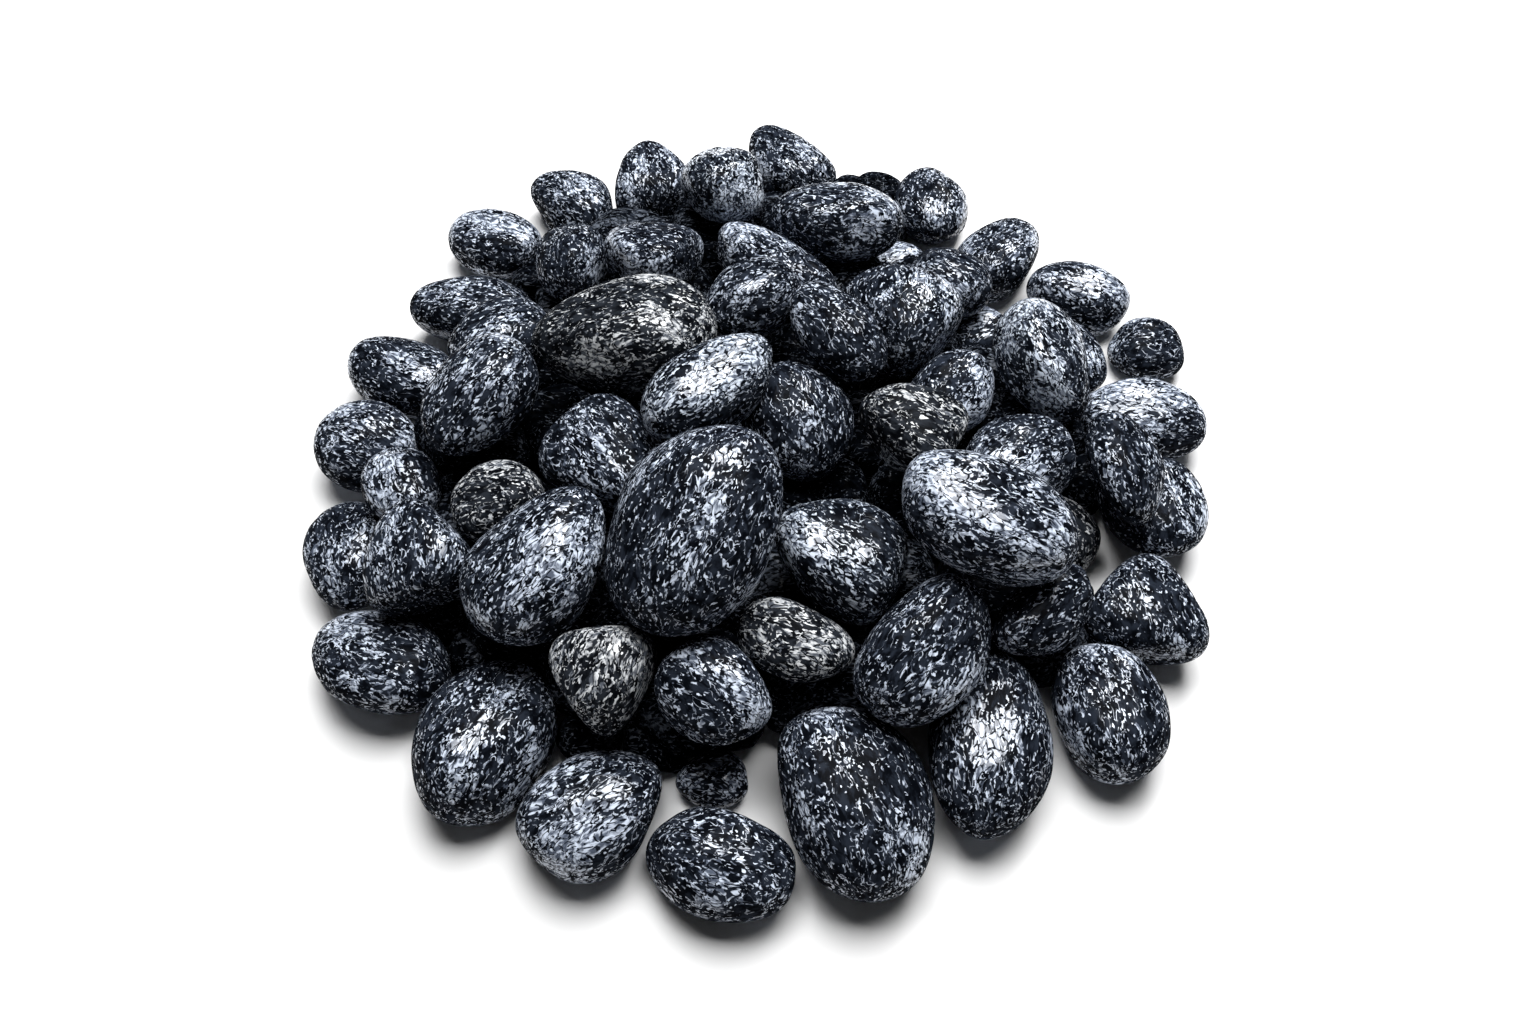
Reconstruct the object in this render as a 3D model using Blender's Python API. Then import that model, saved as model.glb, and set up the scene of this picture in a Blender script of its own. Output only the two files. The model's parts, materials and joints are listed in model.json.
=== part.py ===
"""A heap of polished basalt massage stones, each stone a separate solid.

The heap is laid the way a hand would pile it. A rim of stones lies flat on the floor with a few small
ones in its gaps, and a bed of stones fills the floor inside it. The shoulder and crown stones are then
lowered on top one after another. Each comes down until it touches what already lies there, then works
its way into the nearest hollow, so no stone passes through another and none floats.
Lengths are in millimetres and angles in degrees until the last step, which makes Blender's metres.
"""

import math

import bmesh
import bpy
import numpy as np
from mathutils import Matrix

MM = 0.001

# Driving dimensions
RIM_RADIUS = 175.0  # from the heap's middle to the middle of the rim's stones
SHOULDER_RADIUS = 125.0  # the same for the second course
CROWN_RADIUS = 60.0  # the same for the stones on top
STONE_SCALE = 1.0  # all stones' own sizes
CLEARANCE = 0.5  # air left between two stones where they meet
FOOT_DEPTH = 1.0  # how much of a floor stone's underside is worn flat
NESTLE_REACH = 12.0  # how far a stone on others may roll sideways to find its hollow
NESTLE_SLOPE = 0.7  # height that it must gain for each millimetre of that
CROWDING_REACH = 60.0  # how far a floor stone may be pushed aside to find room

BED_LENGTH = 56.0
BED_WIDTH = 52.0
BED_THICKNESS = 29.0
BED_OVERLAP = 7.0  # how far neighbouring bed stones run into each other, where they are joined
BED_TURN = 67.0  # each next bed stone is turned this much further
BED_INSET = 25.0  # from the rim's circle to the middle of the outermost bed stones
BED_SHIFT = 24.0  # how far a bed stone may be drawn in from its place in the pattern to find room

FILLERS = ((33.0, 28.0, 21.0), (22.0, 19.0, 15.0))  # sizes of the small stones that fill the bed to the rim
FILLER_STEP = 4.0  # between the places that are tried for them
FILLER_INSET = 0.0  # from the rim's circle to the middle of the outermost ones
LEAST_SHARED = 0.22  # of a filler's footprint, which lies on bed stones that it is joined to
MOST_SHARED = 0.50

# How a stone is worn: all in shares of its own half sizes
ROUNDING = 7  # the higher, the crisper the soft edges between a stone's flatter faces
FLAT_SHARE = 0.84  # height of the broad upper and lower faces
CORNER_SHARE = 0.70  # distance of the three long sides of a wedge
WORN_FACES = 7  # further flattened places, in directions of their own
WORN_NEAREST = 0.84
WORN_FURTHEST = 0.98
EGG_TAPER = 0.16
BEAN_BEND = 0.30

# Resolution
GRID_STEP = 1.0  # of the height map that the stones are lowered onto
LARGE_STONE = 60.0  # stones at least this long get the finer facets
LARGE_CUTS = 3  # cuts along each edge of an icosahedron
SMALL_CUTS = 2
BED_CUTS = 1
PROBE_LEVELS = 25
BISECTIONS = 14

# Where each stone starts from, as seen from above: bearing from the heap's middle (0 is +X, and
# anticlockwise counts up) and distance out from its course's radius. Then the heading of its long axis,
# or of its narrow end, its length, width and thickness, its form and its tone.
RIM = (
    (265, 9, 167, 55, 42, 30, "oval", "dark"),
    (280, -8, 122, 73, 58, 40, "oval", "dark"),
    (301, -11, 72, 77, 48, 36, "oval", "dark"),
    (315, 7, 90, 59, 46, 33, "egg", "dark"),
    (328, 3, 315, 53, 49, 32, "wedge", "dark"),
    (346, -6, 105, 50, 45, 30, "oval", "dark"),
    (2, -7, 170, 61, 42, 30, "oval", "dark"),
    (16, 15, 168, 35, 32, 22, "oval", "dark"),
    (28, 0, 155, 52, 38, 28, "oval", "dark"),
    (42, -14, 55, 54, 41, 30, "egg", "dark"),
    (58, -4, 93, 51, 41, 30, "oval", "dark"),
    (84, 7, 125, 58, 39, 29, "egg", "dark"),
    (108, 0, 110, 51, 44, 32, "wedge", "dark"),
    (120, 3, 148, 54, 39, 29, "egg", "dark"),
    (136, 6, 156, 54, 38, 29, "oval", "dark"),
    (150, -18, 168, 64, 39, 31, "egg", "dark"),
    (166, -7, 146, 60, 41, 31, "oval", "dark"),
    (180, -3, 150, 48, 44, 31, "oval", "dark"),
    (198, 4, 98, 55, 38, 29, "oval", "dark"),
    (215, 8, 148, 60, 44, 31, "egg", "dark"),
    (231, -4, 74, 66, 54, 38, "egg", "dark"),
    (249, -3, 32, 57, 46, 34, "oval", "dark"),
)

# Small stones on the floor, in the gaps of the rim.
GAP = (
    (263, -23, 172, 28, 22, 17, "oval", "dark"),
    (58, -42, 20, 32, 25, 17, "oval", "dark"),
    (30, -51, 15, 35, 31, 22, "oval", "dark"),
    (19, -23, 110, 44, 33, 24, "oval", "dark"),
    (338, -39, 115, 40, 33, 24, "oval", "warm"),
)

# The second course, in laying order. After the tone: lean, how far the stone is tipped to follow the
# slope, and roll about its own long axis.
SHOULDER = (
    (162, -6, 13, 49, 42, 30, "oval", "dark", 12, 0),
    (178, -10, 234, 60, 46, 34, "egg", "dark", 15, 0),
    (191, 16, 120, 40, 33, 25, "oval", "dark", 12, 0),
    (204, -9, 180, 40, 35, 26, "oval", "warm", 15, 0),
    (40, -9, 150, 42, 37, 27, "oval", "dark", 15, 0),
    (133, 1, 97, 55, 35, 30, "egg", "dark", 18, 0),
    (96, 9, 85, 54, 43, 34, "egg", "pale", 20, 0),
    (70, -13, 185, 66, 41, 32, "oval", "dark", 15, 0),
    (84, -37, 141, 74, 33, 28, "oval", "dark", 8, 0),
    (87, -70, 26, 46, 34, 28, "oval", "dark", 8, 0),
    (245, 11, 275, 44, 39, 29, "wedge", "warm", 12, 0),
    (263, 8, 320, 48, 38, 29, "egg", "dark", 12, 0),
    (316, 22, 42, 46, 30, 24, "bean", "dark", 12, 0),
    (209, 26, 345, 48, 47, 32, "wedge", "dark", 15, 0),
    (273, -6, 337, 46, 31, 26, "oval", "warm", 12, 0),
    (292, 7, 52, 63, 43, 33, "oval", "dark", 18, 0),
    (127, -29, 150, 55, 42, 33, "wedge", "dark", 15, 0),
    (222, 0, 50, 66, 51, 36, "egg", "dark", 18, 0),
    (346, 26, 100, 50, 31, 25, "egg", "dark", 18, 0),
    (9, -1, 107, 64, 43, 32, "oval", "pale", 18, 0),
)

# The stones on top, in laying order.
CROWN = (
    (1, 21, 35, 47, 38, 28, "oval", "dark", 12, 0),
    (343, 8, 150, 47, 39, 29, "wedge", "warm", 10, 0),
    (346, 51, 32, 55, 43, 32, "egg", "dark", 15, 0),
    (291, 27, 140, 56, 47, 34, "egg", "pale", 12, 0),
    (324, -32, 108, 57, 47, 35, "oval", "dark", 8, 0),
    (207, 12, 310, 60, 48, 34, "wedge", "dark", 12, 0),
    (249, 20, 64, 87, 64, 44, "oval", "dark", 16, 0),
    (312, 51, 154, 74, 49, 36, "egg", "dark", 16, 0),
    (25, 20, 267, 62, 56, 37, "wedge", "dark", 12, 0),
    (150, -8, 178, 80, 52, 38, "egg", "warm", 10, 0),
    (232, -35, 38, 65, 37, 31, "egg", "pale", 5, 0),
    (46, -20, 122, 54, 34, 26, "oval", "dark", 8, 0),
)

TONES = {
    "dark": (0.020, 0.024, 0.032, 1.0),
    "pale": (0.045, 0.052, 0.065, 1.0),
    "warm": (0.050, 0.048, 0.045, 1.0),
}
POLISH_ROUGHNESS = 0.32


def unit(bearing):
    """The direction of a bearing, on the floor."""
    return np.array([math.cos(math.radians(bearing)), math.sin(math.radians(bearing))])


def turned(heading, lean, roll, bearing):
    """Rolled about the long axis, turned to the heading, then tipped outwards along the bearing."""
    out = unit(bearing)
    tip = Matrix.Rotation(math.radians(lean), 3, (-out[1], out[0], 0))
    turn = Matrix.Rotation(math.radians(heading), 3, "Z")
    return np.array(tip @ turn @ Matrix.Rotation(math.radians(roll), 3, "X"))


def ball(cuts):
    """A unit ball of even triangles: an icosahedron with each edge cut, pushed out to the ball."""
    mesh = bmesh.new()
    bmesh.ops.create_icosphere(mesh, subdivisions=1, radius=1.0)
    bmesh.ops.subdivide_edges(mesh, edges=mesh.edges[:], cuts=cuts, use_grid_fill=True)
    bmesh.ops.triangulate(mesh, faces=mesh.faces[:])
    for vertex in mesh.verts:
        vertex.co.normalize()
    return mesh


class Stone:
    """A worn pebble: a ball, flattened by faces whose edges are rounded off, then tapered or bent."""

    def __init__(self, name, size, form, tone, rotation, seed):
        self.name = name
        self.tone = tone
        self.rotation = rotation
        self.centre = np.zeros(3)
        self.taper = EGG_TAPER if form == "egg" else 0.0
        self.bend = BEAN_BEND if form == "bean" else 0.0
        self.faces, self.distances = self.worn_faces(form, seed)
        self.half = wanted = np.array(size) * STONE_SCALE / 2
        skin = ball(LARGE_CUTS)
        directions = np.array([v.co for v in skin.verts])
        skin.free()
        for _ in range(2):  # the faces take a little off each size, so it is given back
            self.half = self.half * wanted / np.abs(self.surface(directions)).max(axis=0)
        self.top, self.bottom, self.reach = self.heights()

    @staticmethod
    def worn_faces(form, seed):
        """Directions of the stone's flatter places, and how far out each lies."""
        rng = np.random.default_rng(seed)
        faces = [(0, 0, 1), (0, 0, -1)]
        distances = [FLAT_SHARE, FLAT_SHARE]
        if form == "wedge":
            faces += [(*unit(side), 0) for side in (60, 180, 300)]
            distances += [CORNER_SHARE] * 3
        spread = rng.normal(size=(WORN_FACES, 3))
        faces.extend(spread / np.linalg.norm(spread, axis=1, keepdims=True))
        distances.extend(rng.uniform(WORN_NEAREST, WORN_FURTHEST, WORN_FACES))
        return np.array(faces), np.array(distances)

    def gauge(self, points):
        """Below 1 inside the stone and above 1 outside it, for points on the stone's own axes."""
        x, y, z = np.moveaxis(points / self.half, -1, 0)
        narrowing = 1 - self.taper * np.clip(x, -1, 1)
        y = (y - self.bend * (x**2 - 0.35)) / narrowing
        even = np.stack([x, y, z / narrowing], axis=-1)
        whole = (even**2).sum(axis=-1) ** (ROUNDING / 2)
        cut = (np.maximum(even @ self.faces.T, 0) / self.distances) ** ROUNDING
        return (whole + cut.sum(axis=-1)) ** (1 / ROUNDING)

    def surface(self, directions):
        """The points where rays from the middle leave the stone, on its own axes."""
        near = np.zeros(len(directions))
        far = np.full(len(directions), 1.5 * self.half.max())
        for _ in range(2 * BISECTIONS):
            middle = (near + far) / 2
            inside = self.gauge(directions * middle[:, None]) < 1
            near = np.where(inside, middle, near)
            far = np.where(inside, far, middle)
        return directions * near[:, None]

    def heights(self):
        """Its upper and lower surface above its middle, over a window of the height map's cells.

        Half of the clearance is added all round, and cells beside the stone hold no height. The third
        value is how many cells the window reaches out from its middle.
        """
        reach = int(math.ceil((self.half.max() * 1.1 + CLEARANCE) / GRID_STEP))
        line = np.arange(-reach, reach + 1) * GRID_STEP
        x, y = np.meshgrid(line, line, indexing="ij")
        swell = 1 + CLEARANCE / 2 / self.half.min()

        def swollen_gauge(z):
            return self.gauge(np.stack([x, y, z], axis=-1) @ self.rotation) / swell

        levels = np.linspace(-reach, reach, PROBE_LEVELS) * GRID_STEP
        probes = np.array([swollen_gauge(np.full_like(x, level)) for level in levels])
        deepest = levels[probes.argmin(axis=0)]
        surfaces = []
        for outside in (1.2 * levels[-1], 1.2 * levels[0]):
            near, far = deepest, np.full_like(x, outside)
            for _ in range(BISECTIONS):
                middle = (near + far) / 2
                inside = swollen_gauge(middle) < 1
                near, far = np.where(inside, middle, near), np.where(inside, far, middle)
            surfaces.append(near)
        hit = probes.min(axis=0) < 1
        return np.where(hit, surfaces[0], -np.inf), np.where(hit, surfaces[1], np.inf), reach

    def model(self, cuts, collection, materials):
        """Makes the Blender object, in metres, with its origin at the stone's middle.

        What would reach below the floor is worn flat there.
        """
        skin = ball(cuts)
        points = self.surface(np.array([v.co for v in skin.verts])) @ self.rotation.T
        points[:, 2] = np.maximum(points[:, 2], -self.centre[2])
        for vertex, point in zip(skin.verts, points):
            vertex.co = point * MM
        mesh = bpy.data.meshes.new(self.name)
        skin.to_mesh(mesh)
        skin.free()
        mesh.shade_smooth()
        mesh.materials.append(materials[self.tone])
        made = bpy.data.objects.new(self.name, mesh)
        made.location = self.centre * MM
        collection.objects.link(made)
        return made


class Landscape:
    """The height of whatever has been laid so far, over a square grid of cells on the floor.

    The bare floor counts as a little below z = 0, which is what floor stones are worn flat by.
    """

    def __init__(self, half_side):
        self.middle = int(half_side / GRID_STEP)
        self.floor = -FOOT_DEPTH - CLEARANCE / 2
        self.height = np.full((2 * self.middle + 1, 2 * self.middle + 1), self.floor)

    def window(self, stone, cell):
        i, j = cell[0] + self.middle, cell[1] + self.middle
        reach = stone.reach
        return self.height[i - reach : i + reach + 1, j - reach : j + reach + 1]

    def resting_height(self, stone, cell):
        """How high the stone's middle is when, lowered over the cell, it first touches something."""
        return float((self.window(stone, cell) - stone.bottom).max())

    def has_room(self, stone, cell):
        """Whether the stone reaches the floor over the cell."""
        return self.resting_height(stone, cell) <= self.floor - stone.bottom.min()

    def lay(self, stone, cell):
        """Lowers the stone over the cell, and adds it to the landscape."""
        z = self.resting_height(stone, cell)
        stone.centre = np.array([cell[0] * GRID_STEP, cell[1] * GRID_STEP, z])
        window = self.window(stone, cell)
        np.maximum(window, z + stone.top, out=window)


def nearest_cell(place):
    return tuple(int(round(v / GRID_STEP)) for v in place)


def least_push(land, stone, start):
    """A floor stone without room is pushed aside, no further than it must be to reach the floor."""
    limit = int(CROWDING_REACH / GRID_STEP)
    steps = [(i, j) for i in range(-limit, limit + 1) for j in range(-limit, limit + 1)]
    for i, j in sorted(steps, key=lambda step: math.hypot(*step)):
        cell = (start[0] + i, start[1] + j)
        if land.has_room(stone, cell):
            return cell
    return start


def nestle(land, stone, start):
    """A stone on others comes to rest in the best hollow near its start.

    Each step sideways must gain it some height, so it goes no further than is worth it.
    """
    limit = int(NESTLE_REACH / GRID_STEP)
    steps = [(i, j) for i in range(-limit, limit + 1) for j in range(-limit, limit + 1)]

    def effort(step):
        height = land.resting_height(stone, (start[0] + step[0], start[1] + step[1]))
        return height + NESTLE_SLOPE * math.hypot(*step) * GRID_STEP

    best = min((step for step in steps if math.hypot(*step) <= limit), key=effort)
    return start[0] + best[0], start[1] + best[1]


def lay_course(land, name, rows, radius, settle, seed):
    """Makes and lays the stones of one table. settle moves each from where it starts."""
    stones = []
    for number, row in enumerate(rows, start=1):
        bearing, out, heading, length, width, thickness, form, tone = row[:8]
        lean, roll = row[8:] or (0, 0)
        rotation = turned(heading, lean, roll, bearing)
        size = (length, width, thickness)
        stone = Stone(f"{name}_stone_{number:02d}", size, form, tone, rotation, seed + number)
        land.lay(stone, settle(land, stone, nearest_cell(unit(bearing) * (radius + out))))
        stones.append(stone)
    return stones


def drawn_in(land, stone, place):
    """The first cell with room for a bed stone, from its place straight in to the heap's middle."""
    distance = np.linalg.norm(place)
    for shift in np.arange(0, min(BED_SHIFT, distance) + GRID_STEP, GRID_STEP):
        cell = nearest_cell(place * (1 - shift / max(distance, GRID_STEP)))
        if land.has_room(stone, cell):
            return cell
    return None


def lay_bed(land, seed):
    """Fills the floor inside the rim, on a triangular pattern. Where there is no room, none is laid.

    The bed's stones run into each other, so all find their cells before the first is laid.
    """
    pitch = BED_WIDTH * STONE_SCALE - BED_OVERLAP
    rings = range(-int(RIM_RADIUS / pitch) - 2, int(RIM_RADIUS / pitch) + 3)
    size = (BED_LENGTH, BED_WIDTH, BED_THICKNESS)
    fitting = []
    for place in (np.array([i + j / 2, j * math.sqrt(3) / 2]) * pitch for i in rings for j in rings):
        if np.linalg.norm(place) > RIM_RADIUS - BED_INSET:
            continue
        number = len(fitting) + 1
        rotation = turned(BED_TURN * number, 0, 0, 0)
        stone = Stone(f"bed_stone_{number:02d}", size, "oval", "dark", rotation, seed + number)
        cell = drawn_in(land, stone, place)
        if cell:
            fitting.append((stone, cell))
    bed = Landscape(land.middle * GRID_STEP)
    for stone, cell in fitting:
        lay_through(bed, stone, cell)
    fillers = [filler for size in FILLERS for filler in lay_fillers(land, bed, size, seed + 100)]
    np.maximum(land.height, bed.height, out=land.height)
    return [stone for stone, _ in fitting] + fillers


def lay_through(bed, stone, cell):
    """Lays the stone on the bare floor, into whatever part of the bed is there already."""
    alone = Landscape(bed.middle * GRID_STEP)
    alone.lay(stone, cell)
    np.maximum(bed.height, alone.height, out=bed.height)


def lay_fillers(land, bed, size, seed):
    """Fills the bed up to the rim, from the middle outwards, with stones of one size joined to those laid.

    One is laid where it clears the rim and where a fair share of its footprint, but not too much of it,
    lies on the bed already.
    """
    limit = RIM_RADIUS - FILLER_INSET
    line = np.arange(-limit, limit + FILLER_STEP, FILLER_STEP)
    places = sorted(((x, y) for x in line for y in line), key=lambda place: math.hypot(*place))
    fillers = []
    stone = None
    for place in (place for place in places if math.hypot(*place) <= limit):
        if stone is None:
            number = len(fillers) + 1
            rotation = turned(BED_TURN * number, 0, 0, 0)
            stone = Stone("filler", size, "oval", "dark", rotation, seed + number)
        cell = nearest_cell(place)
        footprint = np.isfinite(stone.top)
        shared = (bed.window(stone, cell)[footprint] > bed.floor).mean()
        if LEAST_SHARED <= shared <= MOST_SHARED and land.has_room(stone, cell):
            lay_through(bed, stone, cell)
            fillers.append(stone)
            stone = None
    return fillers


def join(name, pieces, collection):
    """Unites pieces that run into each other with the first one, which takes the name."""
    whole = pieces[0]
    whole.name = whole.data.name = name
    for home in list(whole.users_collection):
        home.objects.unlink(whole)
    collection.objects.link(whole)
    for piece in pieces[1:]:
        piece.hide_render = True
        piece.display_type = "WIRE"
        union = whole.modifiers.new(piece.name, "BOOLEAN")
        union.operation = "UNION"
        union.solver = "EXACT"
        union.object = piece


def centre_on_origin(objects):
    """Moves all the objects together, so that their common box stands centred on the origin."""
    points = np.array([obj.location + v.co for obj in objects for v in obj.data.vertices])
    low, high = points.min(axis=0), points.max(axis=0)
    for obj in objects:
        obj.location.x -= (low[0] + high[0]) / 2
        obj.location.y -= (low[1] + high[1]) / 2


def main():
    for obj in list(bpy.data.objects):
        bpy.data.objects.remove(obj)
    heap = bpy.data.collections.new("basalt_massage_stones")
    joined = bpy.data.collections.new("joined_into_the_bed")
    for collection in (heap, joined):
        bpy.context.scene.collection.children.link(collection)
    materials = {tone: stone_material(tone, colour) for tone, colour in TONES.items()}

    land = Landscape(RIM_RADIUS + CROWDING_REACH + 100)
    floor = lay_course(land, "rim", RIM, RIM_RADIUS, least_push, 100)
    floor += lay_course(land, "gap", GAP, RIM_RADIUS, least_push, 150)
    bed = lay_bed(land, 500)
    upper = lay_course(land, "shoulder", SHOULDER, SHOULDER_RADIUS, nestle, 200)
    upper += lay_course(land, "crown", CROWN, CROWN_RADIUS, nestle, 300)

    made = []
    for stone in floor + upper:
        large = stone.half[0] * 2 >= LARGE_STONE
        made.append(stone.model(LARGE_CUTS if large else SMALL_CUTS, heap, materials))
    pieces = [stone.model(BED_CUTS, joined, materials) for stone in bed]
    centre_on_origin(made + pieces)
    join("bed_stones", pieces, heap)


def stone_material(tone, colour):
    material = bpy.data.materials.new(f"basalt_{tone}")
    material.use_nodes = True
    shader = material.node_tree.nodes["Principled BSDF"]
    shader.inputs["Base Color"].default_value = colour
    shader.inputs["Roughness"].default_value = POLISH_ROUGHNESS
    return material


main()
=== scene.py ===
# %% [markdown]
# # A heap of polished basalt massage stones
#
# Massage stones are river and beach pebbles of basalt, sorted by size and polished. This lesson finishes a
# heap of them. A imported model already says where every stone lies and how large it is, with a few dozen flat
# faces for each, so the work here is on what the eye wants: skins that are smooth and slightly uneven, as
# water leaves them, and a mottled mineral that follows each stone's own grain.
#
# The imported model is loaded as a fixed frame. No piece of it is moved or resized.

# %% Load the frame
import json
import math

import bpy
import numpy as np
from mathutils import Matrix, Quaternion, Vector
from mathutils.bvhtree import BVHTree


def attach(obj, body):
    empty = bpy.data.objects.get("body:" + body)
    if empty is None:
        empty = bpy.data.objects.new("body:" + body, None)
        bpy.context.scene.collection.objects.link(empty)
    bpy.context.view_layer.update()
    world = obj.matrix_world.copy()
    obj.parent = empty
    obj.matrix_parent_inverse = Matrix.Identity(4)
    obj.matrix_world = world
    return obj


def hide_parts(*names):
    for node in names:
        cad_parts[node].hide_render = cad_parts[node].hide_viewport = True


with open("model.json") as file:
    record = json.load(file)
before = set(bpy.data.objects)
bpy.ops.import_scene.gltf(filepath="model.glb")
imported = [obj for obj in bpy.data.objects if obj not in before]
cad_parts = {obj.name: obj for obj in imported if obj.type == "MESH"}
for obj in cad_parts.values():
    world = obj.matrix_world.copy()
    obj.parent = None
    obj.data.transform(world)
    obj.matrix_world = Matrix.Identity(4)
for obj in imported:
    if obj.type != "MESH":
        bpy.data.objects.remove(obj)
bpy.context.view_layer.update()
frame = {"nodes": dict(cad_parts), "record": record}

MM = 0.001

# %% [markdown]
# ## The camera
#
# The heap is seen from above its front edge, close by and with a wide lens. That is why the front stones look
# so much larger than the ones at the back. Four things say where the camera is: what it aims at, how far off
# it stands, how steeply it looks down, and how much it is tipped.

# %% Place the camera
AIM = Vector((0.8, -41.8, 17.6)) * MM
CAMERA_DISTANCE = 465.2 * MM
CAMERA_ELEVATION = math.radians(57.24)
CAMERA_TIP = math.radians(-1.15)
SENSOR = 36.0  # mm wide
LENS = 25.99  # mm


def add_camera():
    """Stands at aim + distance * (0, -cos e, sin e) and looks at the aim, tipped about its line of sight."""
    back = Vector((0, -math.cos(CAMERA_ELEVATION), math.sin(CAMERA_ELEVATION)))
    data = bpy.data.cameras.new("camera")
    data.sensor_width = SENSOR
    data.lens = LENS
    data.clip_start = 10 * MM
    camera = bpy.data.objects.new("camera", data)
    bpy.context.scene.collection.objects.link(camera)
    camera.location = AIM + back * CAMERA_DISTANCE
    camera.rotation_mode = "QUATERNION"
    camera.rotation_quaternion = Quaternion(back, CAMERA_TIP) @ (-back).to_track_quat("-Z", "Y")
    bpy.context.scene.camera = camera
    return camera


camera = add_camera()
print("the camera stands", round(camera.location.z / MM), "mm above the floor")

# %% [markdown]
# ## Reading a stone's rough form
#
# Each stone's node is a closed mesh of loose triangles, so the same corner is stored several times. Put on a
# coarse grid of micrometres, equal corners fall together and one of each is kept. The stone's middle is the
# middle of its box, and its long axis is the direction in which its corners spread the most.

# %% Corners, middle and axes of a node


def corners_of(node):
    """The node's corners in millimetres, each once."""
    mesh = frame["nodes"][node].data
    flat = np.empty(3 * len(mesh.vertices), np.float32)
    mesh.vertices.foreach_get("co", flat)
    return np.unique(np.round(flat.reshape(-1, 3).astype(float) / MM, 3), axis=0)


def middle_of(corners):
    """The middle of the corners' box."""
    return (corners.min(axis=0) + corners.max(axis=0)) / 2


def axes_of(corners):
    """Rows are the long, middle and short axis: the eigenvectors of the corners' spread."""
    spread = corners - corners.mean(axis=0)
    _, vectors = np.linalg.eigh(spread.T @ spread)
    axes = vectors[:, ::-1].T
    axes *= np.where(axes[np.arange(3), np.abs(axes).argmax(axis=1)] < 0, -1, 1)[:, None]
    return axes


example = corners_of("crown_stone_07")
print("the largest stone on top has", len(example), "corners")

# %% [markdown]
# ## A ball from six square grids
#
# A ball of latitudes and longitudes crowds its faces at the poles, and a polished skin would show them. Here
# the ball is blown up from a cube instead: each of its six faces is a square grid of u and v, and the grids
# meet along the cube's edges. Nothing is crowded, and every stone can share the same grid of directions.

# %% Directions and faces of the ball


def ball_grid(side):
    """Directions on the unit ball, and the quads that join them.

    On a cube's face, u and v run from -1 to 1, and (1, tan(pi u / 4), tan(pi v / 4)), made unit length and
    turned to that face, gives even steps. Points that two faces share are merged.
    """
    line = np.tan(np.linspace(-1, 1, side + 1) * math.pi / 4)
    u, v = np.meshgrid(line, line, indexing="ij")
    sheet = np.stack([np.ones_like(u), u, v], axis=-1)
    sheets = [np.roll(sheet * sign, turn, axis=-1) for turn in range(3) for sign in (1, -1)]
    points = np.array(sheets).reshape(-1, 3)
    points /= np.linalg.norm(points, axis=1, keepdims=True)

    cells = np.arange(6 * (side + 1) ** 2).reshape(6, side + 1, side + 1)
    quads = [cells[:, :-1, :-1], cells[:, 1:, :-1], cells[:, 1:, 1:], cells[:, :-1, 1:]]
    quads = np.stack(quads, axis=-1).reshape(-1, 4)
    _, first, which = np.unique(np.round(points, 6), axis=0, return_index=True, return_inverse=True)
    directions, quads = points[first], which.reshape(-1)[quads]

    corner = directions[quads]
    normal = np.cross(corner[:, 2] - corner[:, 0], corner[:, 3] - corner[:, 1])
    inward = (normal * corner.mean(axis=1)).sum(axis=1) < 0
    quads[inward] = quads[inward][:, ::-1]
    return directions, quads


FINE_SIDE = 40
BED_SIDE = 9
directions, quads = ball_grid(FINE_SIDE)
print("the fine ball has", len(directions), "points and", len(quads), "quads")

# %% [markdown]
# ## A smooth skin through the rough corners
#
# The rough form gives the stone's radius in a few dozen directions. The skin needs it in thousands, so the
# radius is made a smooth function of direction. Subdividing the rough mesh would shrink it. A spline of
# cubed distances passes through every known radius instead, and bends as little as it can between them.

# %% The radius as a function of direction


def radius_spline(known, radii):
    """Returns a function: radius(d) = sum of w_i |d - d_i|^3 + a + b . d, exact at the known directions."""
    count = len(known)
    gaps = np.linalg.norm(known[:, None] - known[None], axis=-1) ** 3
    linear = np.hstack([np.ones((count, 1)), known])
    system = np.block([[gaps, linear], [linear.T, np.zeros((4, 4))]])
    solved = np.linalg.solve(system, np.concatenate([radii, np.zeros(4)]))

    def radius(wanted):
        away = np.linalg.norm(wanted[:, None] - known[None], axis=-1) ** 3
        return away @ solved[:count] + solved[count] + wanted @ solved[count + 1 :]

    return radius


# %% [markdown]
# ## Wear
#
# No pebble is a perfect egg. Water and sand leave broad shallow swells a few centimetres long, and smaller
# ones on top of them. A sum of plane waves in random directions gives such a relief everywhere on the stone
# with no seam. The relief only takes material away, so that the stones stay clear of each other.

# %% Swells on a stone's skin


def swells(points, wavelength, count, rng):
    """sum of sin(2 pi p . h / pitch + phase) over `count` random headings h, / sqrt(2 count).

    Each pitch is about the wavelength, and the result lies between about -1 and 1.
    """
    heading = rng.normal(size=(count, 3))
    heading /= np.linalg.norm(heading, axis=1, keepdims=True)
    pitch = wavelength * rng.uniform(0.75, 1.35, count)
    phase = rng.uniform(0, 2 * math.pi, count)
    waves = np.sin(2 * math.pi * (points @ heading.T) / pitch + phase)
    return waves.sum(axis=1) / math.sqrt(2 * count)


BROAD_SWELL = (24.0, 0.35)  # wavelength and depth, mm
SMALL_SWELL = (9.0, 0.09)
WAVES = 18


def worn_away(points, rng):
    """How many millimetres are taken off at each point, never less than none."""
    off = np.zeros(len(points))
    for wavelength, depth in (BROAD_SWELL, SMALL_SWELL):
        off += depth * np.clip(1 + swells(points, wavelength, WAVES, rng), 0, 2)
    return off


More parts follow.
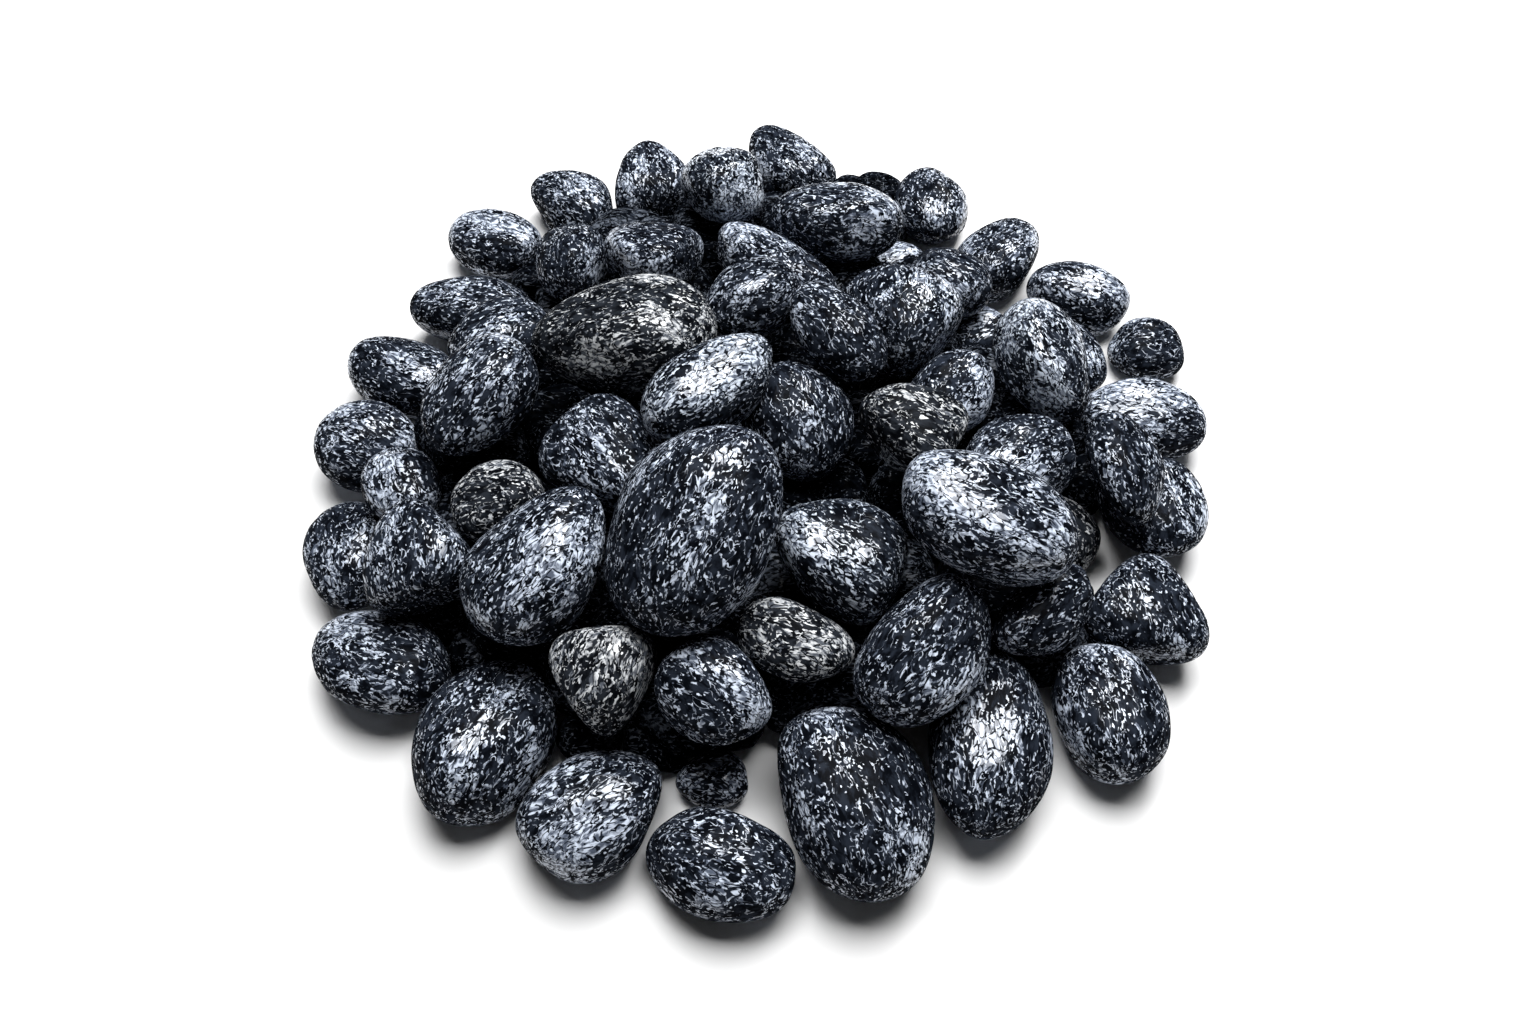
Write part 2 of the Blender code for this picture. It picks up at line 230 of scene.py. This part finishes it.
# %% [markdown]
# ## From arrays to a mesh
#
# The points and quads go into a Blender mesh as whole arrays. With them goes an attribute called grain: each
# point's place on its own stone's axes, in millimetres, with a different start for every stone. The material
# reads it, so that the mottling runs along each stone and no two stones show the same patch.

# %% Make the mesh and its attributes

FAR = 500.0  # mm, how far apart in the mineral two stones may start


def mesh_from(name, points, faces, grain, character):
    """A mesh in metres with smooth faces, from points in millimetres and quads.

    character is three numbers for each point, the same all over one stone, for the material's variations.
    """
    mesh = bpy.data.meshes.new(name)
    mesh.vertices.add(len(points))
    mesh.vertices.foreach_set("co", (points * MM).astype(np.float32).ravel())
    mesh.loops.add(faces.size)
    mesh.loops.foreach_set("vertex_index", faces.astype(np.int32).ravel())
    mesh.polygons.add(len(faces))
    mesh.polygons.foreach_set("loop_start", np.arange(0, faces.size, 4, dtype=np.int32))
    mesh.update(calc_edges=True)
    mesh.polygons.foreach_set("use_smooth", np.ones(len(faces), bool))
    for title, values in (("grain", grain), ("character", character)):
        attribute = mesh.attributes.new(title, "FLOAT_VECTOR", "POINT")
        attribute.data.foreach_set("vector", values.astype(np.float32).ravel())
    mesh.validate()
    return mesh


def stone_arrays(middle, radii, axes, rng, along=None):
    """Points, grain and character of one stone from its radii over the ball's directions."""
    along = directions if along is None else along
    offsets = along * radii[:, None]
    offsets -= along * worn_away(offsets, rng)[:, None]
    points = middle + offsets
    points[:, 2] = np.maximum(points[:, 2], 0)
    grain = offsets @ axes.T + rng.uniform(-FAR, FAR, 3)
    character = np.tile(rng.uniform(0, 1, 3), (len(points), 1))
    return points, grain, character


# %% [markdown]
# ## Socket arithmetic
#
# A procedural material is a lot of small sums. Written as nodes, each one takes three lines and hides what it
# does. A small class wraps a node's output and lends it Python's operators, so that a sum in the code adds
# the Math nodes for it.

# %% The class for shader sums


class Value:
    """A number that varies over the surface: a socket with +, -, * and abs, on either side of a number."""

    def __init__(self, builder, socket):
        self.builder = builder
        self.socket = socket

    def sum(self, operation, *terms):
        return self.builder.node("ShaderNodeMath", {"operation": operation}, dict(enumerate(terms)))

    def __add__(self, other):
        return self.sum("ADD", self, other)

    def __sub__(self, other):
        return self.sum("SUBTRACT", self, other)

    def __rsub__(self, other):
        return self.sum("SUBTRACT", other, self)

    def __mul__(self, other):
        return self.sum("MULTIPLY", self, other)

    def __abs__(self):
        return self.sum("ABSOLUTE", self)

    __radd__ = __add__
    __rmul__ = __mul__


class Builder:
    """Adds nodes to one material."""

    def __init__(self, material):
        material.use_nodes = True
        self.tree = material.node_tree
        self.shader = self.tree.nodes["Principled BSDF"]

    def node(self, kind, settings=None, inputs=None, output=0):
        """Adds a node, applies its settings and feeds its sockets. Returns the output as a Value."""
        made = self.tree.nodes.new(kind)
        for name, setting in (settings or {}).items():
            setattr(made, name, setting)
        for name, value in (inputs or {}).items():
            self.feed(made.inputs[name], value)
        return Value(self, made.outputs[output])

    def feed(self, socket, value):
        if isinstance(value, Value):
            self.tree.links.new(value.socket, socket)
        else:
            socket.default_value = value

    def step(self, value, low, high):
        """0 below low, 1 above high and a smooth rise between."""
        settings = {"interpolation_type": "SMOOTHSTEP"}
        return self.node("ShaderNodeMapRange", settings, {"Value": value, "From Min": low, "From Max": high})

    def noise(self, place, per_mm, detail=2.0, rough=0.5, output=0):
        inputs = {"Vector": place, "Scale": per_mm, "Detail": detail, "Roughness": rough}
        return self.node("ShaderNodeTexNoise", None, inputs, output)

    def higher(self, first, second):
        return self.node("ShaderNodeMath", {"operation": "MAXIMUM"}, {0: first, 1: second})

    def mix(self, factor, first, second):
        settings = {"data_type": "RGBA"}
        return self.node("ShaderNodeMix", settings, {0: factor, 6: first, 7: second}, 2)

    def shifted(self, place, per_mm, reach):
        """place pushed about by up to `reach` millimetres, so that what is drawn there looks stirred."""
        swirl = self.noise(place, per_mm, 1.0, 0.5, "Color")
        settings = {"operation": "SUBTRACT"}
        centred = self.node("ShaderNodeVectorMath", settings, {0: swirl, 1: (0.5, 0.5, 0.5)})
        settings = {"operation": "MULTIPLY_ADD"}
        return self.node("ShaderNodeVectorMath", settings, {0: centred, 1: (2 * reach,) * 3, 2: place})


# %% [markdown]
# ## Polished basalt
#
# The stone is a blue-black ground full of pale feldspar. The pale mineral comes as flecks a millimetre or two
# long that all lean the same way, and in places they crowd into blotches that a net of black cracks breaks
# up again. Thin pale curls wander between them, and elsewhere the ground shows a cloudy slate.
#
# One function makes all four finishes, because they differ only in tint, in how crowded the pale mineral is
# and in polish. The clear coat follows the pale mineral, which takes the polish best. A plain specular layer
# would lay a grey veil over the black ground, so it is off. The bed's copy is painted shade: a much darker
# tint and almost no coat stand in for the shade that falls between the other stones above it.

# %% The basalt material

LEAN = (0.55, 1.0, 1.0)  # flecks are longer along the stone's long axis
FLECKS = (0.595, 0.615)  # each pair is where the mineral starts and where it is full
BLOTCHES = (0.605, 0.625)
CRACKS = (0.06, 0.10)
CURLS = (0.010, 0.024)
CURLY_PLACES = (0.50, 0.58)
CLOUDS = (0.40, 0.66)
PALE_CORES = (0.38, 0.64)
BUMP = 0.14  # mm
GROUND = (0.0022, 0.0028, 0.0042)
SLATE = (0.017, 0.021, 0.029)
MID = (0.085, 0.10, 0.13)
PALE = (0.68, 0.73, 0.80)


def rgba(colour):
    return (*colour, 1.0)


def basalt(name, tint, crowding, polish=1.0):
    """tint multiplies the colours, crowding shifts how much of the surface the pale mineral covers, and
    polish scales the clear coat over it."""
    material = bpy.data.materials.new(name)
    b = Builder(material)
    grain = b.node("ShaderNodeAttribute", {"attribute_name": "grain"}, output="Vector")
    character = b.node("ShaderNodeAttribute", {"attribute_name": "character"}, output="Vector")
    trait = [b.node("ShaderNodeSeparateXYZ", None, {0: character}, output=i) for i in range(3)]

    leaning = b.node("ShaderNodeMapping", None, {"Vector": grain, "Scale": LEAN})
    stirred = b.shifted(b.shifted(leaning, 0.12, 2.4), 0.5, 0.7)

    crowd = b.noise(leaning, 0.05, 1.0) + (trait[0] - 0.5) * 0.16 + crowding
    dash = b.noise(stirred, 0.85, 1.5, 0.55) + (crowd - 0.5) * 0.25
    dashes = b.step(dash, *FLECKS)
    blotch = b.noise(stirred, 0.20, 3.0, 0.6) + (crowd - 0.5) * 0.9
    crack = b.node("ShaderNodeTexVoronoi", {"feature": "DISTANCE_TO_EDGE"},
                   {"Vector": stirred, "Scale": 0.46, "Randomness": 1.0})
    solid = b.step(crack, *CRACKS)
    blotches = b.step(blotch, *BLOTCHES) * solid
    curl = 1 - b.step(abs(b.noise(stirred, 0.42, 1.0) - 0.5), *CURLS)
    curls = curl * b.step(b.noise(leaning, 0.25, 1.0), *CURLY_PLACES) * 0.9

    cloud = b.step(b.noise(stirred, 0.33, 3.0, 0.6), *CLOUDS)
    ground = b.mix(cloud, rgba(GROUND), rgba(SLATE))
    pale = b.mix(b.step(b.noise(stirred, 0.7, 2.0), *PALE_CORES), rgba(MID), rgba(PALE))
    cover = b.higher(b.higher(blotches * 0.9, dashes), curls)
    colour = b.mix(cover, ground, pale)
    tinted = b.node("ShaderNodeMix", {"data_type": "RGBA", "blend_type": "MULTIPLY"},
                    {0: 1.0, 6: colour, 7: rgba(tint)}, 2)
    b.feed(b.shader.inputs["Base Color"], tinted)
    b.feed(b.shader.inputs["Roughness"], 0.55 - cover * 0.2)
    b.feed(b.shader.inputs["Coat Weight"], cover * (0.95 * polish) + 0.02 * polish)
    height = cover * 0.7 + b.noise(grain, 0.45, 3.0)
    bump = b.node("ShaderNodeBump", None, {"Strength": 0.6, "Distance": BUMP * MM, "Height": height})
    b.feed(b.shader.inputs["Normal"], bump)
    b.shader.inputs["Specular IOR Level"].default_value = 0.0
    b.shader.inputs["Coat Roughness"].default_value = 0.18
    return material


basalts = {
    "basalt_dark": basalt("polished_basalt_dark", (0.95, 0.98, 1.05), 0.0),
    "basalt_pale": basalt("polished_basalt_pale", (0.96, 0.99, 1.04), 0.07),
    "basalt_warm": basalt("polished_basalt_warm", (1.02, 0.98, 0.92), 0.03),
    # painted shade: the bed's copy is darkened and nearly uncoated to stand in for the shade between the
    # stones
    "basalt_painted_shade": basalt("polished_basalt_deep", (0.16, 0.17, 0.19), -0.06, 0.1),
}
print("materials", ", ".join(basalts))

# %% [markdown]
# ## The stones of the rim, the shoulder and the crown
#
# Every node but the bed is one stone, and is replaced by its skin. The record says which slot its finish
# comes from and which body it belongs to, so that the loose stones can still be lifted off.

# %% Make each stone

SLOTS = {part["node"]: part["material_slot"] for part in frame["record"]["subparts"]}
BODIES = {node: body for body, nodes in frame["record"]["behaviour"]["bodies"].items() for node in nodes}
BED = "bed_stones"


def show(mesh, node, finish_or_shade=None):
    """Puts a finished mesh in the scene in place of the node it stands for."""
    mesh.materials.append(basalts[finish_or_shade or SLOTS[node]])
    piece = bpy.data.objects.new(mesh.name, mesh)
    bpy.context.scene.collection.objects.link(piece)
    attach(piece, BODIES[node])
    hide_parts(node)
    return piece


def polished_stone(node, number):
    """A smooth skin through the node's corners: middle + direction * (radius(direction) - worn away)."""
    corners = corners_of(node)
    middle = middle_of(corners)
    offsets = corners - middle
    reach = np.linalg.norm(offsets, axis=1)
    radius = radius_spline(offsets / reach[:, None], reach)
    rng = np.random.default_rng(number)
    points, grain, character = stone_arrays(middle, radius(directions), axes_of(corners), rng)
    return show(mesh_from(f"polished_{node}", points, quads, grain, character), node)


single = sorted(node for node in frame["nodes"] if node != BED)
stones = [polished_stone(node, number) for number, node in enumerate(single)]
print(len(stones), "stones of", 2 * len(quads), "triangles each")

# %% [markdown]
# ## The bed
#
# Inside the rim, under everything else, lies a bed of stones that only shows through the gaps and where a
# stone is lifted off. Its node is one solid of stones that run into each other, so each stone is found again
# by its flat top.
#
# Rays from a stone's middle then tell how far its skin may reach: to the solid's own skin and a little past
# it to the side, but not past the border with the next stone, nor up to the stones around the bed. A rough
# ball of rays is enough, because the spline fills in between them.

# %% Find the bed's stones

LEVEL = 0.99  # the upward part of a nearly level face's normal
LOWEST_TOP = 9.0  # mm
SAME_STONE = 0.7  # of the larger one's girth
TOP_HEIGHTS = (12.0, 17.0, 26.0)  # mm, of the three sizes
GIRTHS = (10.0, 15.0, 27.0)  # mm
MIDDLE_HEIGHT = 0.5  # of the top's height
BED_GAP = 0.3  # mm, on each side of the border between two stones
WALL_GAP = 1.0  # mm, to a stone that is not of the bed
SWELLING = 10.0  # mm
MOST_REACH = 1.5  # of the girth
LEAST_REACH = 2.0  # mm
NEIGHBOURHOOD = 60.0  # mm
LEAST_FACING = 0.05  # a border seen more edge-on than this limits nothing


def flat_tops(mesh):
    """The middle and height of each bed stone's worn top, which is a patch of nearly level faces.

    A patch that is closer to a larger one than most of that one's girth is a part of the same stone.
    """
    patches = []
    for face in mesh.polygons:
        if face.normal.z < LEVEL or face.center.z / MM < LOWEST_TOP:
            continue
        corners, places, area = set(face.vertices), np.array(face.center) / MM * face.area, face.area
        for patch in [patch for patch in patches if patch[0] & corners]:
            patches.remove(patch)
            corners, places, area = corners | patch[0], places + patch[1], area + patch[2]
        patches.append((corners, places, area))
    tops = []
    for _, places, area in sorted(patches, key=lambda patch: -patch[2]):
        top = places / area
        if all(np.hypot(*(top - other)[:2]) > SAME_STONE * girth_of(other) for other in tops):
            tops.append(top)
    return np.array(tops)


def girth_of(top):
    """How far a bed stone reaches to the side, from how high it is: there are three sizes."""
    return np.interp(top[..., 2], TOP_HEIGHTS, GIRTHS)


def skins_of(nodes):
    """One tree of all the faces of these nodes, for finding what a ray meets first."""
    places, faces = [], []
    for node in nodes:
        mesh = frame["nodes"][node].data
        faces += [[corner + len(places) for corner in face.vertices] for face in mesh.polygons]
        places += [vertex.co / MM for vertex in mesh.vertices]
    return BVHTree.FromPolygons(places, faces)


def room_around(middles, girths, number, along, solid, others):
    """How far a bed stone reaches in each direction: to the border with a neighbour, or a little past the
    solid's skin, which is as far as it swells sideways into the room beside it, but not into other stones.

    The border between two stones of unlike girth lies at (d*d + g1*g1 - g2*g2) / 2d of the way between them.
    """
    middle = middles[number]
    reach = np.full(len(along), MOST_REACH * girths[number])
    for index, direction in enumerate(along):
        _, _, _, skin = solid.ray_cast(Vector(middle), Vector(direction))
        _, _, _, wall = others.ray_cast(Vector(middle), Vector(direction))
        swollen = (skin or reach[index]) + SWELLING * math.hypot(*direction[:2]) ** 2
        reach[index] = min(reach[index], swollen, (wall or swollen + WALL_GAP) - WALL_GAP)
    between = middles - middle
    apart = np.linalg.norm(between, axis=1)
    near = (apart > 0) & (apart < NEIGHBOURHOOD)
    border = (apart[near] ** 2 + girths[number] ** 2 - girths[near] ** 2) / (2 * apart[near])
    facing = along @ (between[near] / apart[near][:, None]).T
    limits = np.where(facing > LEAST_FACING, (border - BED_GAP) / np.maximum(facing, LEAST_FACING), np.inf)
    return np.maximum(np.minimum(reach, limits.min(axis=1)), LEAST_REACH)


tops = flat_tops(frame["nodes"][BED].data)
bed_middles = tops * (1, 1, MIDDLE_HEIGHT)
bed_girths = girth_of(tops)
print("the bed has", len(tops), "stones, from", round(tops[:, 2].min()), "to",
      round(tops[:, 2].max()), "mm high")

# %% Make the bed's skins as one piece

FEELER_SIDE = 3
LEAST_RADIUS = 1.0  # mm
FIRST_BED_SEED = 1000


def polished_bed():
    """All the bed's stones in one mesh, each a closed skin of its own."""
    solid, others = skins_of([BED]), skins_of(single)
    feelers, _ = ball_grid(FEELER_SIDE)
    along, faces = ball_grid(BED_SIDE)
    parts = []
    for number, middle in enumerate(bed_middles):
        reach = room_around(bed_middles, bed_girths, number, feelers, solid, others)
        radii = np.maximum(radius_spline(feelers, reach)(along), LEAST_RADIUS)
        rng = np.random.default_rng(FIRST_BED_SEED + number)
        parts.append(stone_arrays(middle, radii, np.eye(3), rng, along))
    points, grain, character = (np.concatenate(column) for column in zip(*parts))
    quads_of_all = np.concatenate([faces + len(along) * number for number in range(len(parts))])
    # the bed wears the painted-shade copy of the basalt, darkened for the shade it lies in
    return show(mesh_from("polished_bed_stones", points, quads_of_all, grain, character), BED, "basalt_painted_shade")


bed = polished_bed()
print("the bed's skins have", 2 * len(bed.data.polygons), "triangles")

# %% [markdown]
# ## Floor and light
#
# Polished dark stone shows little but what it mirrors, so the light matters more than the floor. A large soft
# lamp overhead gives each stone one broad highlight, and a smaller one from behind draws its upper edge. The
# surroundings are kept nearly black, because an even glow would grey the dark mineral. The floor is plain and
# dull.

# %% Stage

FLOOR_SIZE = 6.0  # m
SURROUNDINGS = 0.03
WHITE = (1.0, 1.0, 1.0)


def add_floor():
    bpy.ops.mesh.primitive_plane_add(size=FLOOR_SIZE, location=(0, 0, 0))
    floor = bpy.context.object
    floor.name = "floor"
    material = bpy.data.materials.new("white_floor")
    b = Builder(material)
    b.shader.inputs["Base Color"].default_value = (0.9, 0.9, 0.9, 1.0)
    b.shader.inputs["Roughness"].default_value = 0.9
    b.shader.inputs["Specular IOR Level"].default_value = 0.0
    floor.data.materials.append(material)


def add_softbox(name, place, size, power):
    """A rectangular lamp of that size in metres and power in watts, turned to the camera's aim."""
    data = bpy.data.lights.new(name, "AREA")
    data.shape = "RECTANGLE"
    data.size, data.size_y = size
    data.energy = power
    light = bpy.data.objects.new(name, data)
    bpy.context.scene.collection.objects.link(light)
    light.location = place
    light.rotation_mode = "QUATERNION"
    light.rotation_quaternion = (AIM - Vector(place)).to_track_quat("-Z", "Y")


add_floor()
add_softbox("overhead", (0.1, 0.5, 1.4), (1.2, 0.9), 42)
add_softbox("key_back", (0.5, 0.9, 0.8), (0.35, 0.35), 8)
world = bpy.data.worlds.new("studio")
world.use_nodes = True
glow = world.node_tree.nodes["Background"]
glow.inputs["Color"].default_value = rgba(WHITE)
glow.inputs["Strength"].default_value = SURROUNDINGS
bpy.context.scene.world = world
bpy.context.scene.view_settings.view_transform = "Standard"
print("the stage has a floor", FLOOR_SIZE, "m wide and two lamps")
